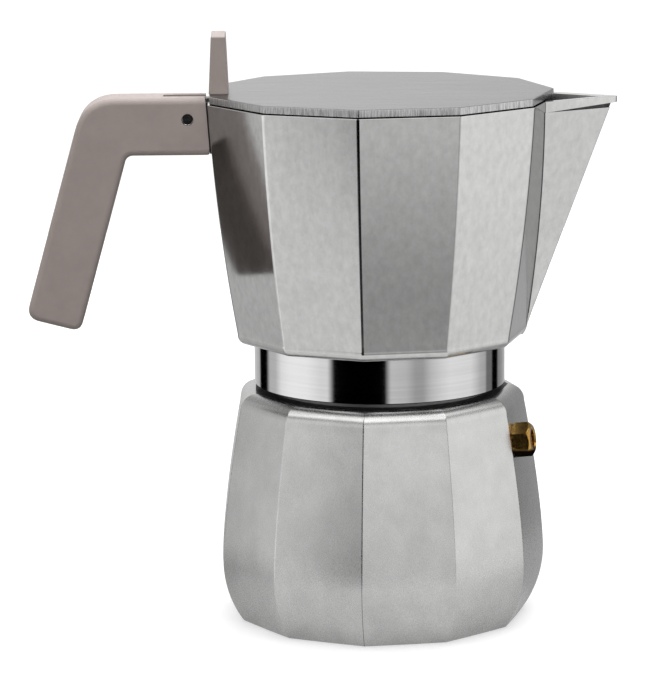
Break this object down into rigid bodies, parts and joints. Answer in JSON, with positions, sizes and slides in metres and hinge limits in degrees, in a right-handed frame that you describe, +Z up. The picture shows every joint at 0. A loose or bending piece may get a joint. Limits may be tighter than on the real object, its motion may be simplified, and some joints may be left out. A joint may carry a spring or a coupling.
{
  "type": "stovetop moka pot",
  "caption": "Faceted stovetop coffee maker: a boiler with a safety valve screws under a spouted collector with a side handle and a hinged lid.",
  "frame": {"origin": "centre of the boiler's flat base, on the surface it stands on", "axes": "+Z up along the pot's axis, +X from the axis towards the spout, the handle towards -X"},
  "size_m": [0.1939, 0.115, 0.1941],
  "materials": {
    "cast": "satin brushed casting",
    "pressed": "pressed sheet",
    "steel": "turned",
    "valve_brass": "turned",
    "grip": "fine matt moulding",
    "silicone": "smooth moulding",
    "fibre": "pressed fibre"
  },
  "bodies": {
    "boiler": {"boiler": "cast", "valve_body": "valve_brass", "valve_washer": "fibre", "valve_retainer": "steel", "valve_spring": "steel"},
    "valve_poppet": {"valve_poppet": "steel"},
    "funnel": {"funnel": "pressed", "funnel_plate": "pressed"},
    "gasket": {"gasket": "silicone"},
    "strainer": {"filter_plate": "pressed"},
    "collector": {"collector": "cast", "column": "cast", "column_cap": "cast", "handle": "grip", "hinge_pin": "steel", "hinge_screw": "steel"},
    "lid": {"lid": "cast", "knob": "grip", "knob_screw_1": "steel", "knob_screw_2": "steel"}
  },
  "joints": [
    {"name": "collector_lift", "type": "slide", "parent": "boiler", "child": "gasket", "axis": [0, 0, 1], "range_m": [0, 0.18]},
    {"name": "collector_rise", "type": "slide", "parent": "gasket", "child": "strainer", "axis": [0, 0, 1], "range_m": [0, 0.0045]},
    {"name": "collector_turn", "type": "hinge", "parent": "strainer", "child": "collector", "pos_m": [0, 0, 0.09], "axis": [0, 0, 1], "range_deg": [0, 540]},
    {"name": "lid_hinge", "type": "hinge", "parent": "collector", "child": "lid", "pos_m": [-0.0624, 0, 0.167], "axis": [0, -1, 0], "range_deg": [0, 88]},
    {"name": "funnel_lift", "type": "slide", "parent": "boiler", "child": "funnel", "axis": [0, 0, 1], "range_m": [0, 0.081]},
    {"name": "valve_poppet_travel", "type": "slide", "parent": "boiler", "child": "valve_poppet", "axis": [0.9513, -0.2793, 0.1305], "range_m": [0, 0.0015], "stiffness_N_per_m": 1500, "springref_m": -0.0035, "deforming": ["valve_spring"]}
  ],
  "couplings": [
    {"joint": "collector_rise", "follows": "collector_turn", "m_per_rad": 0.00047746},
    {"joint": "funnel_lift", "follows": "collector_lift", "ratio": 0.45}
  ]
}
